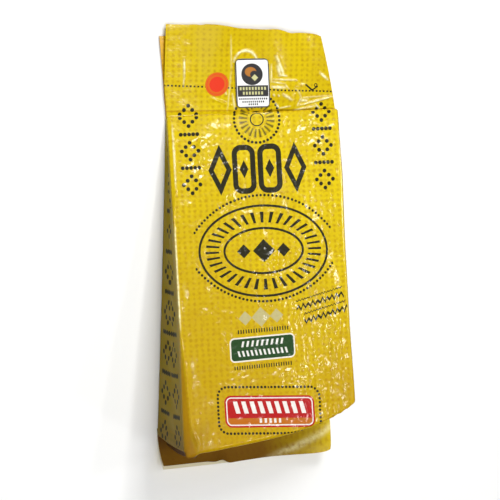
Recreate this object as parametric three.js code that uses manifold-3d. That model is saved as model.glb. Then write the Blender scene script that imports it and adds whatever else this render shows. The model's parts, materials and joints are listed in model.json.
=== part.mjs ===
// A wedge of hard cheese, shut in a printed side-gusset film bag, lying on its flat back panel.
// X runs across the bag, +Y from the rind end to the empty top flap, +Z out of the printed front.
// All sizes are in millimetres. The bag is shut, so the cheese and its film are one solid, with the
// flaps of both bag ends joined on. The paper label on the top flap is a piece of its own.

import * as THREE from 'three';
import { mergeVertices } from 'three/addons/utils/BufferGeometryUtils.js';
import Module from 'manifold-3d';

const wasm = await Module();
wasm.setup();

const { clamp, degToRad, lerp, smoothstep } = THREE.MathUtils;

// The cheese: a slice of half a wheel, so the bag is as wide as half the wheel is high.
const bagWidth = 116;
const wheelRadius = 220;
const wedgeAngle = degToRad(15.3);
const tipThickness = 3;
const rindSlant = 15;          // how much nearer the tip the rind lies across the wheel's curved rim
const shoulderRound = 12.5;    // and at the wheel's rounded shoulder, on the right
const cornerStep = 1.8;        // the film's corner stands out on the left
const edgeRadius = 2.2;
const tipSkew = 0.8;           // the fold at the thin end isn't quite square to the bag

// Film relief on the body.
const gussetCrease = 1.3;      // depth of the fold line down the middle of each side
const earLength = 4.5;         // pinched film that stands past the rind at both its ends
const rindBulge = 1.6;
const waveHeight = 0.45;       // slow unevenness of the cut cheese under the film
const pleatHeight = 0.7;       // drawn-in film above the thin end

// The flattened front edge, low on the left.
const stripWidth = 7;
const stripDrop = 2.6;
const stripReach = 66;

// The top flap: the front leaf and the back leaf of the empty bag top.
const topFlapLength = 54.5;
const topFlapLift = 5.5;
const topFlapCrest = 1.6;
const topFlapFall = 4;         // the free edge is lower on the right
const flapRightLean = 14;
const flapLeftLean = 2.4;
const backLeafShort = 5.2;
const backLeafShift = 3.8;
const pillowHeight = 3.4;      // the film stands up to the right of the label
const pillowMiddle = 22;
const pillowWidth = 17;
const leafThickness = 1.1;
const leafRoot = 4;            // how far a leaf runs into the body

// The bottom flap: the seal stays square to the bag, so it is longer under the slanted shoulder.
const sealLeft = -20.6;
const sealRight = -15.8;
const sealLift = 11.6;
const sealOverhang = 1.2;
const sealCorner = 1.8;
const sealThickness = 1.4;
const sealRipple = 1.8;

const tableGap = 0.3;          // the flaps' undersides hang this far clear of the table

// The paper label.
const labelWidth = 22;
const labelHeight = 31;
const labelThickness = 0.5;
const labelGap = 0.35;
const labelTurn = degToRad(1);
const labelFoot = 3;           // from the fold at the thin end up to the label

const halfWidth = bagWidth / 2;
const tipY = wheelRadius * Math.cos(wedgeAngle);
const endHeight = wheelRadius * wedgeAngle;

// From 0 at the left edge of the bag to 1 at its right edge.
const acrossShare = (x) => (x + halfWidth) / bagWidth;

// The rind's distance from the tip, which is shorter towards the wheel's shoulder.
function rindReach(x) {
  const share = acrossShare(x);
  const corner = cornerStep * smoothstep(x, 1 - halfWidth, 9 - halfWidth);
  return wheelRadius - rindSlant * share - shoulderRound * share ** 5 - corner;
}

// A 0 to 1 coordinate whose rows crowd together at both ends, where the edges are rounded.
function crowdEnds(share, power) {
  const fromMiddle = 2 * share - 1;
  return 0.5 + 0.5 * Math.sign(fromMiddle) * (1 - (1 - Math.abs(fromMiddle)) ** power);
}

// A box of many facets, moved point by point: shape(across, along, up) takes shares from 0 to 1.
function shapedBox(columns, rows, layers, shape) {
  const box = new THREE.BoxGeometry(1, 1, 1, columns, rows, layers);
  box.deleteAttribute('normal');
  box.deleteAttribute('uv');
  const geometry = mergeVertices(box);
  const points = geometry.attributes.position;
  for (let i = 0; i < points.count; i += 1) {
    const point = shape(points.getX(i) + 0.5, points.getY(i) + 0.5, points.getZ(i) + 0.5);
    points.setXYZ(i, point.x, point.y, point.z);
  }
  return geometry;
}

// Rounds the edges of a block: a point in the outer shell is pulled onto its round.
function roundBlock(point, size, radius) {
  const core = point.clone();
  core.x = clamp(core.x, radius, size.x - radius);
  core.y = clamp(core.y, radius, size.y - radius);
  core.z = clamp(core.z, radius, size.z - radius);
  return core.add(point.clone().sub(core).clampLength(0, radius));
}

// Slow waves of the film over the front, and the pleats that gather towards the thin end.
function frontRelief(x, distance) {
  const waves = Math.sin(x / 9.5 + distance / 31) * Math.cos(distance / 14.5 - x / 37)
    + 0.6 * Math.sin(x / 5.6 - distance / 19);
  const pleats = Math.sin(x / 4.3) + 0.7 * Math.sin(x / 2.6 + 1);
  const edge = smoothstep(halfWidth - Math.abs(x), 2, 12);
  const nearTip = 1 - smoothstep(distance, 4, 34);
  return edge * (waveHeight * waves + pleatHeight * 0.5 * nearTip * pleats);
}

// The strip along the left front edge where the film is pressed flat, widest at the rind.
function stripRelief(x, distance) {
  const reach = smoothstep(distance, wheelRadius - stripReach, wheelRadius);
  const width = stripWidth * reach;
  const inside = clamp(1 - (x + halfWidth) / Math.max(width, 1), 0, 1);
  return -stripDrop * reach * inside;
}

// The wedge: a block with rounded edges, bent into polar form about the tip.
function wedgePoint(across, along, up) {
  const size = new THREE.Vector3(bagWidth, wheelRadius, endHeight);
  const crowded = new THREE.Vector3(crowdEnds(across, 1.6), crowdEnds(along, 1.6), crowdEnds(up, 2));
  const block = roundBlock(crowded.multiply(size), size, edgeRadius);
  const height = block.z / endHeight;
  const nearRind = 1 - block.y / wheelRadius;
  let x = block.x - halfWidth;
  let distance = nearRind * rindReach(x);

  const atSide = smoothstep(Math.abs(x), halfWidth - 3, halfWidth);
  const alongFade = smoothstep(nearRind, 0.02, 0.2) * (1 - smoothstep(nearRind, 0.93, 0.99));
  const creaseShape = 1 - Math.abs(2 * height - 1);
  x -= Math.sign(x) * gussetCrease * atSide * alongFade * creaseShape;

  const atRind = smoothstep(nearRind, 0.975, 0.995);
  const bulge = Math.cos(Math.PI * (height - 0.5)) * (1 - (x / halfWidth) ** 2);
  distance += atRind * (rindBulge * bulge + earLength * atSide * (1 - 0.5 * height));

  const angle = height * wedgeAngle;
  const lift = height ** 6 * (frontRelief(x, distance) + stripRelief(x, distance));
  const skew = tipSkew * (x / halfWidth) * (1 - nearRind);
  const y = tipY + skew - distance * Math.cos(angle) + lift * Math.sin(angle);
  const z = distance * Math.sin(angle) + tipThickness * height + lift * Math.cos(angle);
  return new THREE.Vector3(x, y, z);
}

// Middle surface of the top flap's front leaf; rise goes from 0 at the fold to 1 at the free edge.
function frontLeafHeight(x, rise) {
  const ripple = Math.sin(x / 12.5 + 1.9) + 0.5 * Math.sin(x / 6.1 - 0.6);
  const pillow = pillowHeight * Math.exp(-(((x - pillowMiddle) / pillowWidth) ** 2));
  const swell = Math.sin(Math.PI * rise ** 0.6);
  return 1.1 + topFlapLift * rise ** 1.4 + rise * ripple + pillow * swell;
}

// The free edge has a low crest on its left half, and falls away to the right.
function frontLeafEdge(x) {
  const crest = topFlapCrest * Math.exp(-(((x + 33) / 18) ** 2));
  return topFlapLength + crest - topFlapFall * smoothstep(x, -28, 36);
}

function frontLeafPoint(across, along, up) {
  const corner = 2.4 * across ** 24;
  const left = -halfWidth - flapLeftLean * smoothstep(along, 0, 0.6);
  const right = halfWidth - 0.5 - flapRightLean * along;
  const x = lerp(left, right, across);
  const y = tipY + lerp(-leafRoot, frontLeafEdge(x) - corner, along);
  const rise = clamp((y - tipY) / topFlapLength, 0, 1);
  return new THREE.Vector3(x, y, frontLeafHeight(x, rise) + (up - 0.5) * leafThickness);
}

// The back leaf lies on the table, turned a little to the left of the front leaf.
function backLeafPoint(across, along, up) {
  const length = topFlapLength - backLeafShort;
  const left = -halfWidth + 0.5 - flapLeftLean * along - backLeafShift * smoothstep(along, 0.2, 1.1);
  const right = halfWidth - 4 - (flapRightLean - 1) * along;
  const x = lerp(left, right, across);
  const y = tipY + lerp(-leafRoot, length - 1.5 * across, along);
  return new THREE.Vector3(x, y, tableGap + up * leafThickness * 0.8);
}

// The bottom flap curls up from the rind's foot to its sealed free edge, at along = 0.
function sealPoint(across, along, up) {
  const outward = 1 - along;
  const x = lerp(-halfWidth, halfWidth + sealOverhang * outward, across);
  const root = tipY - rindReach(clamp(x, -halfWidth, halfWidth)) + leafRoot;
  const corner = sealCorner * across ** 30;
  const free = lerp(sealLeft, sealRight, across) + corner;
  const y = lerp(root, free, outward);
  const curl = tableGap + sealLift * outward ** 1.6;
  const layerWave = sealRipple * up * outward ** 3 * Math.exp(-(((x + 19) / 8) ** 2));
  return new THREE.Vector3(x, y, curl + layerWave + up * sealThickness);
}

// The label follows the front leaf, a hair above it.
function labelPoint(across, along, up) {
  const flat = new THREE.Vector2((across - 0.5) * labelWidth, (along - 0.5) * labelHeight);
  const rounding = 1.6 * Math.abs(2 * across - 1) ** 10 * Math.abs(2 * along - 1) ** 10;
  flat.setLength(Math.max(flat.length() - rounding, 0));
  flat.rotateAround(new THREE.Vector2(0, 0), labelTurn);
  const x = flat.x - 1;
  const fromFold = flat.y + labelFoot + labelHeight / 2;
  const leafTop = frontLeafHeight(x, clamp(fromFold / topFlapLength, 0, 1)) + leafThickness / 2;
  return new THREE.Vector3(x, tipY + fromFold, leafTop + labelGap + up * labelThickness);
}

function toSolid(geometry) {
  const vertProperties = new Float32Array(geometry.attributes.position.array);
  const triVerts = new Uint32Array(geometry.index.array);
  return new wasm.Manifold(new wasm.Mesh({ numProp: 3, vertProperties, triVerts }));
}

function toGeometry(solid) {
  const mesh = solid.getMesh();
  const geometry = new THREE.BufferGeometry();
  geometry.setAttribute('position', new THREE.BufferAttribute(mesh.vertProperties, 3));
  geometry.setIndex(new THREE.BufferAttribute(mesh.triVerts, 1));
  geometry.computeVertexNormals();
  return geometry;
}

const wedge = toSolid(shapedBox(26, 40, 8, wedgePoint));
const frontLeaf = toSolid(shapedBox(28, 10, 1, frontLeafPoint));
const backLeaf = toSolid(shapedBox(8, 8, 1, backLeafPoint));
const seal = toSolid(shapedBox(28, 7, 1, sealPoint));
const packGeometry = toGeometry(wedge.add(frontLeaf).add(backLeaf).add(seal));

const film = new THREE.MeshStandardMaterial({ color: 0xd9bd1f, roughness: 0.22, metalness: 0 });
const paper = new THREE.MeshStandardMaterial({ color: 0xf2f2ee, roughness: 0.5, metalness: 0 });

const pack = new THREE.Mesh(packGeometry, film);
pack.name = 'pack';
const label = new THREE.Mesh(shapedBox(10, 12, 1, labelPoint), paper);
label.name = 'seal_label';

// The object stands with the middle of its box's underside at the origin.
const group = new THREE.Group();
group.add(pack, label);
const box = new THREE.Box3().setFromObject(group);
group.position.set(-(box.min.x + box.max.x) / 2, -(box.min.y + box.max.y) / 2, -box.min.z);
group.updateMatrixWorld(true);

export default group;
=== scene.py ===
# %% [markdown]
# # A wedge of hard cheese in a shut film bag
# A wedge cut from half a wheel of hard cheese is pushed into a printed bag with folded sides, and the
# air is drawn out. The film then lies so tight on the cheese that it shows every crumb of the cut face.
# The bag is longer than the cheese: its empty top folds back as a flap, and its sealed foot curls up.
# This lesson makes the film as thin meshes from a few formulas, lets Geometry Nodes pucker them, and
# prints them with a material that draws its ink from distances.

# %% Load the frame
import json
import math

import bmesh
import bpy
import numpy as np
from mathutils import Matrix, Vector

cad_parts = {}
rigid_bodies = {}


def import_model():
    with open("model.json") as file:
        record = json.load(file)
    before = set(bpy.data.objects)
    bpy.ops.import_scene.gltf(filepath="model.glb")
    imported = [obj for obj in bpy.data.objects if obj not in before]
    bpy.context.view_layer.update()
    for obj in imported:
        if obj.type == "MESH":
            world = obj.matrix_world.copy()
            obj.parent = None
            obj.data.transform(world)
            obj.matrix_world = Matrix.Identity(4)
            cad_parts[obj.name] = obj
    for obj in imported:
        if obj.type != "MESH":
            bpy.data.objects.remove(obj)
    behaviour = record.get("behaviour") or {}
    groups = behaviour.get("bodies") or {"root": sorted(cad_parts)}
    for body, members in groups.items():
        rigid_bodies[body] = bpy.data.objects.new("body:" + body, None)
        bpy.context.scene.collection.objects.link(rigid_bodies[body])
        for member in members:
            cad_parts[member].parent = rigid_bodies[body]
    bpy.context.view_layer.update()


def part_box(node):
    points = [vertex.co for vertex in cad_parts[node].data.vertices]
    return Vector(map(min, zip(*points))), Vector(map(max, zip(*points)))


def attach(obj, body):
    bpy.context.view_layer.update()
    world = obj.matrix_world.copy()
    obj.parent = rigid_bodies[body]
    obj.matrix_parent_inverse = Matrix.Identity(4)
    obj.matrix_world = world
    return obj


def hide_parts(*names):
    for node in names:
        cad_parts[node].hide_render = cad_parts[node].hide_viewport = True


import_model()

# %% [markdown]
# ## Sizes
# Everything is worked out in millimetres in the bag's own frame and turned into metres at the end.
# In that frame x = 0 is the middle of the bag, y = 0 is the upper rim of the rind at the left, and
# z = 0 is the table. Length and thickness could be two plain numbers. Here they come from the wheel
# that the wedge is a slice of, because its radius and angle can be checked against a real cheese.

# %% Sizes of the cheese and the bag
MM = 0.001
BAG_WIDTH = 116.0
HALF_WIDTH = BAG_WIDTH / 2
WHEEL_RADIUS = 220.0
WEDGE_ANGLE = math.radians(15.3)
TIP_THICKNESS = 3.0
TIP_Y = WHEEL_RADIUS * math.cos(WEDGE_ANGLE)
END_HEIGHT = WHEEL_RADIUS * WEDGE_ANGLE
EDGE_RADIUS = 2.2
# the rind slants back to the right, the wheel's shoulder rounds it there, and its left corner juts out
RIND_SLANT = 15.0
SHOULDER_ROUND = 12.5
CORNER_STEP = 1.8
CORNER_WIDTH = 9.5
# the thin end is a little skewed, and the fold over it droops at the left
TIP_SKEW = 0.8
FOLD_DROOP = 0.9
FLAP_LENGTH = 54.5
TABLE_GAP = 0.3
# the strip that is pinched along the left edge: places down from the fold, and widths there
STRIP_PLACES = (0, 48, 66, 140, 165, 198, 213)
STRIP_WIDTHS = (2.6, 2.6, 0.4, 0.4, 2.8, 4.5, 8.8)
FILM_STEP = 0.75
SEED = 7
print("wedge, mm:", BAG_WIDTH, "wide,", round(TIP_Y, 1), "long,", round(END_HEIGHT, 1), "round the rind")


# %% Soft steps, mixes and bells
def smoothstep(value, low, high):
    share = np.clip((value - low) / (high - low), 0, 1)
    return share * share * (3 - 2 * share)


def mix(start, end, share):
    return start + (end - start) * share


def bell(value, middle, width):
    return np.exp(-(((value - middle) / width) ** 2))


# %% The bag's place in the object's frame
def flap_edge(x):
    """Length of the front leaf from the fold to its wavy free edge."""
    return FLAP_LENGTH + 1.6 * bell(x, -33, 18) - 4 * smoothstep(x, -28, 36)


def back_leaf_left(share):
    """Left edge of the back leaf, which is turned a little out from behind the front leaf."""
    return 0.5 - HALF_WIDTH - 2.4 * share - 3.8 * smoothstep(share, 0.2, 1.1)


pack_low, pack_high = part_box("pack")
highest_edge = flap_edge(np.linspace(-HALF_WIDTH, HALF_WIDTH, 400)).max()
BAG_TO_FRAME = np.array([
    pack_low.x / MM - back_leaf_left(1.0),
    pack_high.y / MM - TIP_Y - highest_edge,
    0.0,
])
print("bag frame to object frame, mm:", BAG_TO_FRAME.round(3))

# %% [markdown]
# ## Camera, floor and light
# The pack lies on its back on a pale floor, and the camera looks down on it from the left.
# A film bag shows its shape by reflections, so the lights come before the material: a soft key from
# beyond the thin end, and small lamps close to the mirror direction, whose reflections break up into
# glints on the puckered film. A lamp overhead lifts the shadows on the floor. It leaves no reflection,
# as behind a polarising filter in a studio.

# %% Camera
CAMERA_PLACE = Vector((-459.04, 271.84, 1347.96)) * MM
CAMERA_AIM = Vector((-4.99, 1.86, 25.0)) * MM
CAMERA_ROLL = math.radians(1.651)
CAMERA_LENS = 160.3


def turned_to(place, aim, roll=0.0):
    """Matrix of a thing at place that looks at aim, with +Y upwards in its view."""
    back = (place - aim).normalized()
    right = Vector((0, 1, 0)).cross(back).normalized()
    up = back.cross(right)
    turned = Matrix((right, up, back)).transposed() @ Matrix.Rotation(roll, 3, "Z")
    return Matrix.Translation(place) @ turned.to_4x4()


camera_data = bpy.data.cameras.new("camera")
camera_data.lens = CAMERA_LENS
camera_data.sensor_width = 36
camera_data.clip_end = 20
camera = bpy.data.objects.new("camera", camera_data)
camera.matrix_world = turned_to(CAMERA_PLACE, CAMERA_AIM, CAMERA_ROLL)
bpy.context.scene.collection.objects.link(camera)
bpy.context.scene.camera = camera
bpy.context.scene.view_settings.view_transform = "Standard"
print("camera", round((CAMERA_PLACE - CAMERA_AIM).length, 3), "m from what it looks at")

# %% Lamps
# name, direction from the object, distance in m, width and height in m, watts
LAMPS = [
    ("key", (0.22, 0.94, 0.98), 1.3, 0.36, 0.36, 9.3),
    ("overhead", (-0.15, -0.10, 1.0), 1.5, 0.70, 0.70, 10.2),
    ("fill", (-0.3, -1.0, 0.8), 2.0, 1.0, 1.0, 3.0),
    ("glint_right", (0.60, 0.29, 0.75), 5.0, 0.22, 0.30, 20.0),
    ("glint_left", (0.04, 0.29, 0.96), 5.0, 0.22, 0.30, 14.0),
    ("glint_top", (0.32, 0.56, 0.77), 5.0, 0.30, 0.22, 13.0),
    ("glint_low", (0.32, 0.01, 0.95), 5.0, 0.30, 0.22, 18.0),
    ("glint_flap", (0.72, -0.34, 0.68), 5.0, 0.22, 0.30, 20.0),
]
for name, direction, distance, width, height, watts in LAMPS:
    lamp_data = bpy.data.lights.new(name, "AREA")
    lamp_data.shape = "RECTANGLE"
    lamp_data.size = width
    lamp_data.size_y = height
    lamp_data.energy = watts
    lamp = bpy.data.objects.new(name, lamp_data)
    lamp.matrix_world = turned_to(Vector(direction).normalized() * distance, Vector((0, 0, 0)))
    lamp.visible_glossy = name != "overhead"
    bpy.context.scene.collection.objects.link(lamp)

world = bpy.data.worlds.new("studio")
world.use_nodes = True
background = world.node_tree.nodes["Background"]
background.inputs["Color"].default_value = (1, 1, 1, 1)
background.inputs["Strength"].default_value = 0.10
bpy.context.scene.world = world
print("lamps:", ", ".join(lamp_row[0] for lamp_row in LAMPS))

# %% Floor
FLOOR_SIZE = 6.0
floor_mesh = bpy.data.meshes.new("floor")
half_floor = FLOOR_SIZE / 2
floor_mesh.from_pydata(
    [(-half_floor, -half_floor, 0), (half_floor, -half_floor, 0),
     (half_floor, half_floor, 0), (-half_floor, half_floor, 0)], [], [(0, 1, 2, 3)])
floor = bpy.data.objects.new("floor", floor_mesh)
bpy.context.scene.collection.objects.link(floor)
floor_paint = bpy.data.materials.new("pale floor")
floor_paint.use_nodes = True
floor_surface = floor_paint.node_tree.nodes["Principled BSDF"]
floor_surface.inputs["Base Color"].default_value = (0.90, 0.90, 0.89, 1)
floor_surface.inputs["Roughness"].default_value = 0.9
floor_mesh.materials.append(floor_paint)
print("floor", FLOOR_SIZE, "m square")

# %% [markdown]
# ## Two kinds of film mesh
# A film bag could be one cloth simulation, but the film's place is known: it lies on the cheese, or it
# is a flat flap. So each part is a grid of points from a formula. Every point also has a flat place:
# where it lay on the printed film before the bag was made. It is kept as a UV map in millimetres, so
# the print runs on across folds and edges as it does on the real bag.

# %% Patches joined into closed meshes
class Skin:
    """Patches of film that share points, collected into one closed mesh."""

    def __init__(self):
        self.points = []
        self.count = 0
        self.faces = []
        self.flats = []

    def add_points(self, points):
        """Adds an array of points, and returns their numbers in the same arrangement."""
        numbers = self.count + np.arange(points[..., 0].size).reshape(points.shape[:-1])
        self.points.append(points.reshape(-1, 3))
        self.count += numbers.size
        return numbers

    def add_patch(self, numbers, flat):
        """Adds the four-sided faces of a grid of point numbers."""
        order = [(slice(None, -1), slice(None, -1)), (slice(1, None), slice(None, -1)),
                 (slice(1, None), slice(1, None)), (slice(None, -1), slice(1, None))]
        corners = np.stack([numbers[rows, columns] for rows, columns in order], axis=-1)
        places = np.stack([flat[rows, columns] for rows, columns in order], axis=2)
        self.faces += corners.reshape(-1, 4).tolist()
        self.flats.append(places.reshape(-1, 2))

    def add_strip(self, fine, coarse, flat_place):
        """Joins two rows of points that hold different numbers of points with triangles."""
        i = 0
        j = 0
        while i < len(fine) - 1 or j < len(coarse) - 1:
            fine_share = (i + 1) / (len(fine) - 1)
            coarse_share = (j + 1) / (len(coarse) - 1)
            if fine_share <= coarse_share:
                self.faces.append([int(fine[i]), int(fine[i + 1]), int(coarse[j])])
                i += 1
            else:
                self.faces.append([int(fine[i]), int(coarse[j + 1]), int(coarse[j])])
                j += 1
            self.flats.append(np.tile(flat_place, (3, 1)))

    def to_piece(self, name, attributes=()):
        """Makes the Blender object, with its faces turned outwards."""
        points = (np.concatenate(self.points) + BAG_TO_FRAME) * MM
        mesh = bpy.data.meshes.new(name)
        mesh.from_pydata(points.tolist(), [], self.faces)
        flat_map = mesh.uv_layers.new(name="flat_film")
        flat_map.data.foreach_set("uv", np.concatenate(self.flats).astype(np.float32).ravel())
        for label, values in attributes:
            stored = mesh.attributes.new(label, "FLOAT", "POINT")
            stored.data.foreach_set("value", np.asarray(values, np.float32))
        shell = bmesh.new()
        shell.from_mesh(mesh)
        bmesh.ops.recalc_face_normals(shell, faces=shell.faces)
        shell.to_mesh(mesh)
        shell.free()
        mesh.shade_smooth()
        piece = bpy.data.objects.new(name, mesh)
        bpy.context.scene.collection.objects.link(piece)
        open_edges = len(mesh.edges) * 2 - len(mesh.loops)
        print(name, "points", len(mesh.vertices), "faces", len(mesh.polygons), "open edges", open_edges)
        return piece


# %% Thin sheets and flat places
def sheet_skin(top, bottom, flat):
    """A thin closed sheet from two grids of points: a top, a bottom and the rim between them."""
    skin = Skin()
    upper = skin.add_points(top)
    lower = skin.add_points(bottom)
    skin.add_patch(upper, flat)
    skin.add_patch(lower, flat)
    for take in ((0, slice(None)), (-1, slice(None)), (slice(None), 0), (slice(None), -1)):
        rim = np.stack([upper[take], lower[take]])
        skin.add_patch(rim, np.stack([flat[take], flat[take]]))
    return skin


def flat_places(across, down):
    """Flat film places: across from the bag's middle, and down from the fold at the thin end."""
    return np.stack(np.broadcast_arrays(across, down), axis=-1).astype(float)


# %% [markdown]
# ## Relief of the front
# The cut face of a hard cheese is rough, and the drawn-down film bridges its crumbs. One could sculpt
# all of that by hand. Here the slow waves and the pleats at the thin end are sums of sines, and single
# creases are ridges along a line or an arc, each with its own place, width and height, because on the
# real bag each has its own cause, and a number is easier to correct than a brush stroke.

# %% Ridges along a line and along an arc
def ridge(x, y, start, end, width, height):
    """Height of a crease from start to end that swells and fades along its length."""
    start = np.array(start, float)
    run = np.array(end, float) - start
    length = np.hypot(*run)
    along = ((x - start[0]) * run[0] + (y - start[1]) * run[1]) / length
    aside = ((x - start[0]) * run[1] - (y - start[1]) * run[0]) / length
    share = np.clip(along / length, 0, 1)
    fade = np.sin(np.pi * share) ** 0.5
    inside = (along > 0) & (along < length)
    return height * fade * inside * np.exp(-((aside / width) ** 2))


def arched_ridge(x, y, middle, radius, first, last, width, height):
    """Height of a crease along an arc; its angles are in degrees, from +x towards +y."""
    turn = np.degrees(np.arctan2(y - middle[1], x - middle[0]))
    share = np.clip((turn - first) / (last - first), 0, 1)
    aside = np.hypot(x - middle[0], y - middle[1]) - radius
    return height * np.sin(np.pi * share) ** 0.6 * np.exp(-((aside / width) ** 2))


# %% Waves, pleats and dents
# start and end of the larger dents in the front film: across, down from the fold
FRONT_DENTS = [
    ((36.8, 159), (39.0, 170)),
    ((27.0, 165), (25.5, 175)),
    ((31.5, 169), (26.5, 179)),
    ((23.5, 172), (21.8, 182)),
    ((13.0, 166), (14.8, 175)),
    ((35.5, 175), (37.2, 189)),
    ((46.5, 133), (45.5, 144)),
    ((47.0, 151), (46.4, 162)),
    ((-36.0, 15), (-34.0, 26)),
    ((-18.0, 53), (-12.5, 59)),
    ((10.5, 88), (5.0, 98)),
]
DENT_WIDTH = 3.2
DENT_HEIGHT = 0.8
print("dents in the front:", len(FRONT_DENTS))


def front_relief(x, down):
    """Relief of the film on the cheese, down mm below the fold at the thin end."""
    waves = np.sin(x / 9.5 + down / 31) * np.cos(down / 14.5 - x / 37) + 0.6 * np.sin(x / 5.6 - down / 19)
    pleats = np.sin(x / 4.3) + 0.5 * np.sin(x / 2.6 + 1)
    edge = smoothstep(HALF_WIDTH - np.abs(x), 2, 12)
    near_tip = 1 - smoothstep(down, 4, 34)
    fine_pleats = 0.05 * np.sin(x / 1.35 + np.sin(down / 7)) * (1 - smoothstep(down, 1, 16))
    relief = edge * (0.45 * waves + 0.10 * near_tip * pleats + fine_pleats)
    relief += ridge(x, down, (-52.0, 204), (-48.0, 213), 0.8, 0.5)
    for start, end in FRONT_DENTS:
        relief += ridge(x, down, start, end, DENT_WIDTH, DENT_HEIGHT)
    fold_sink = 0.2 * (1 - smoothstep(down, 0, 12))
    rind_sink = 0.75 * smoothstep(down, 140, 212)
    return relief - fold_sink - rind_sink


def strip_relief(x, down):
    """The bag's left edge is pinched into a slanting strip near its top and again near the rind."""
    reach = np.clip(down / WHEEL_RADIUS, 0, 1)
    width = np.interp(down, STRIP_PLACES, STRIP_WIDTHS)
    inside = np.clip(1 - (x + HALF_WIDTH) / width, 0, 1)
    rim = 0.25 * bell(x + HALF_WIDTH, width + 0.6, 0.7) * smoothstep(down, 3, 20)
    return rim - (0.5 + (0.2 + 3.0 * reach ** 2) * smoothstep(width, 0.4, 2.6)) * inside


# %% [markdown]
# ## The bag's body
# Seen along the bag, the body is a ring: front, right side, back, left side. The ring is first laid
# round a plain block with rounded edges, and the block is then bent into the shape of a wheel's slice.
# A subdivided cube could be bent too, but its points would be as close behind as in front. Here the
# front gets a point every 0.75 mm, because the light shows all its relief, and the back far fewer.

# %% The rind and the pockets under it
def rind_reach(x):
    """Distance of the rind from the thin end; it is shorter towards the wheel's round shoulder."""
    share = (x + HALF_WIDTH) / BAG_WIDTH
    corner = CORNER_STEP * np.clip((x + HALF_WIDTH) / CORNER_WIDTH, 0, 1)
    return WHEEL_RADIUS - RIND_SLANT * share - SHOULDER_ROUND * share ** 5 - corner


POCKET_LENGTH = 8.5
POCKET_LEAN = 3
POCKET_DEPTH = 6
POCKET_WIDTH = 12
print("thin end to rind, mm:", rind_reach(-HALF_WIDTH), "left,", rind_reach(HALF_WIDTH), "right")


def past_pocket_edge(past_rind, height):
    """How far a point lies beyond the edge where a folded side tucks in under the rind."""
    return past_rind + POCKET_LENGTH - POCKET_LEAN * height


# %% The block bent into a wedge
def round_block(points, size, radius):
    """Pulls the points of a block's outer shell onto its rounded edges."""
    core = np.clip(points, radius, size - radius)
    outward = points - core
    reach = np.linalg.norm(outward, axis=-1, keepdims=True)
    return core + outward * np.minimum(1, radius / np.maximum(reach, 1e-9))


def wedge_points(block_points):
    """Bends points of the block (across, towards the tip, up) into the wedge."""
    size = np.array([BAG_WIDTH, WHEEL_RADIUS, END_HEIGHT])
    block = round_block(block_points, size, EDGE_RADIUS)
    height = block[..., 2] / END_HEIGHT
    near_rind = 1 - block[..., 1] / WHEEL_RADIUS
    x = block[..., 0] - HALF_WIDTH
    distance = near_rind * rind_reach(x)
    at_side = smoothstep(np.abs(x), HALF_WIDTH - 3, HALF_WIDTH)
    along_fade = smoothstep(near_rind, 0.02, 0.2) * (1 - smoothstep(near_rind, 0.93, 0.99))
    side_folds = 0.7 * (1 - np.abs(2 * height - 1))
    side_folds += 0.35 * np.sin(distance / 6.1 + 5 * height) * np.sin(np.pi * height)
    side_folds += 0.25 * np.sin(distance / 2.7 - 9 * height) * np.sin(np.pi * height) ** 2
    x = x - np.sign(x) * at_side * along_fade * side_folds
    right_bulge = 0.8 * bell(distance, 45, 26) + 0.9 * smoothstep(distance, 140, 185)
    left_bulge = 1.6 * near_rind ** 2 * (1 - height) ** 1.5
    x = x + at_side * np.where(x > 0, right_bulge, -left_bulge)
    past_edge = past_pocket_edge(distance - rind_reach(x), height)
    pocket_top = np.where(x > 0, 0.75, 0.93)
    pocket = smoothstep(past_edge, 0, 3) * (1 - smoothstep(height - pocket_top, 0, 0.07))
    pocket_room = smoothstep(np.abs(x), HALF_WIDTH - POCKET_WIDTH, HALF_WIDTH)
    x = x - np.sign(x) * POCKET_DEPTH * pocket * pocket_room
    at_rind = smoothstep(near_rind, 0.975, 0.995)
    bulge = np.cos(np.pi * (height - 0.5)) * (1 - (x / HALF_WIDTH) ** 2)
    rind_folds = 0.5 * np.sin(x / 2.9 + 2 * height) * np.sin(np.pi * height)
    distance = distance + at_rind * (1.6 * bulge + rind_folds)
    angle = height * WEDGE_ANGLE
    lift = height ** 6 * (front_relief(x, distance) + strip_relief(x, distance))
    skew = TIP_SKEW * (x / HALF_WIDTH) * (1 - near_rind)
    skew = skew - FOLD_DROOP * (1 - x / HALF_WIDTH) * (1 - near_rind) ** 4
    y = TIP_Y + skew - distance * np.cos(angle) + lift * np.sin(angle)
    z = distance * np.sin(angle) + TIP_THICKNESS * height + lift * np.cos(angle)
    return np.stack([x, y, z], axis=-1)


# %% The ring of the body
def even_steps(length, step, dense=(), dense_step=0.3):
    """Places from 0 to length a step apart, with closer ones in the dense stretches."""
    places = [0.0]
    while places[-1] < length:
        here = places[-1]
        is_dense = any(low <= here < high for low, high in dense)
        places.append(here + (dense_step if is_dense else step))
    return np.array(places) * length / places[-1]


front_across = even_steps(BAG_WIDTH, FILM_STEP, [(0, 2.4), (BAG_WIDTH - 2.4, BAG_WIDTH)])
side_up = END_HEIGHT * np.concatenate(
    [[0, 0.008, 0.02, 0.04, 0.07], np.linspace(0.11, 0.89, 17), [0.93, 0.96, 0.98, 0.992, 1]])
back_across = np.linspace(0, BAG_WIDTH, 41)
towards_tip = even_steps(WHEEL_RADIUS, FILM_STEP, [(0, 2.4), (WHEEL_RADIUS - 2.4, WHEEL_RADIUS)])

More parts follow.
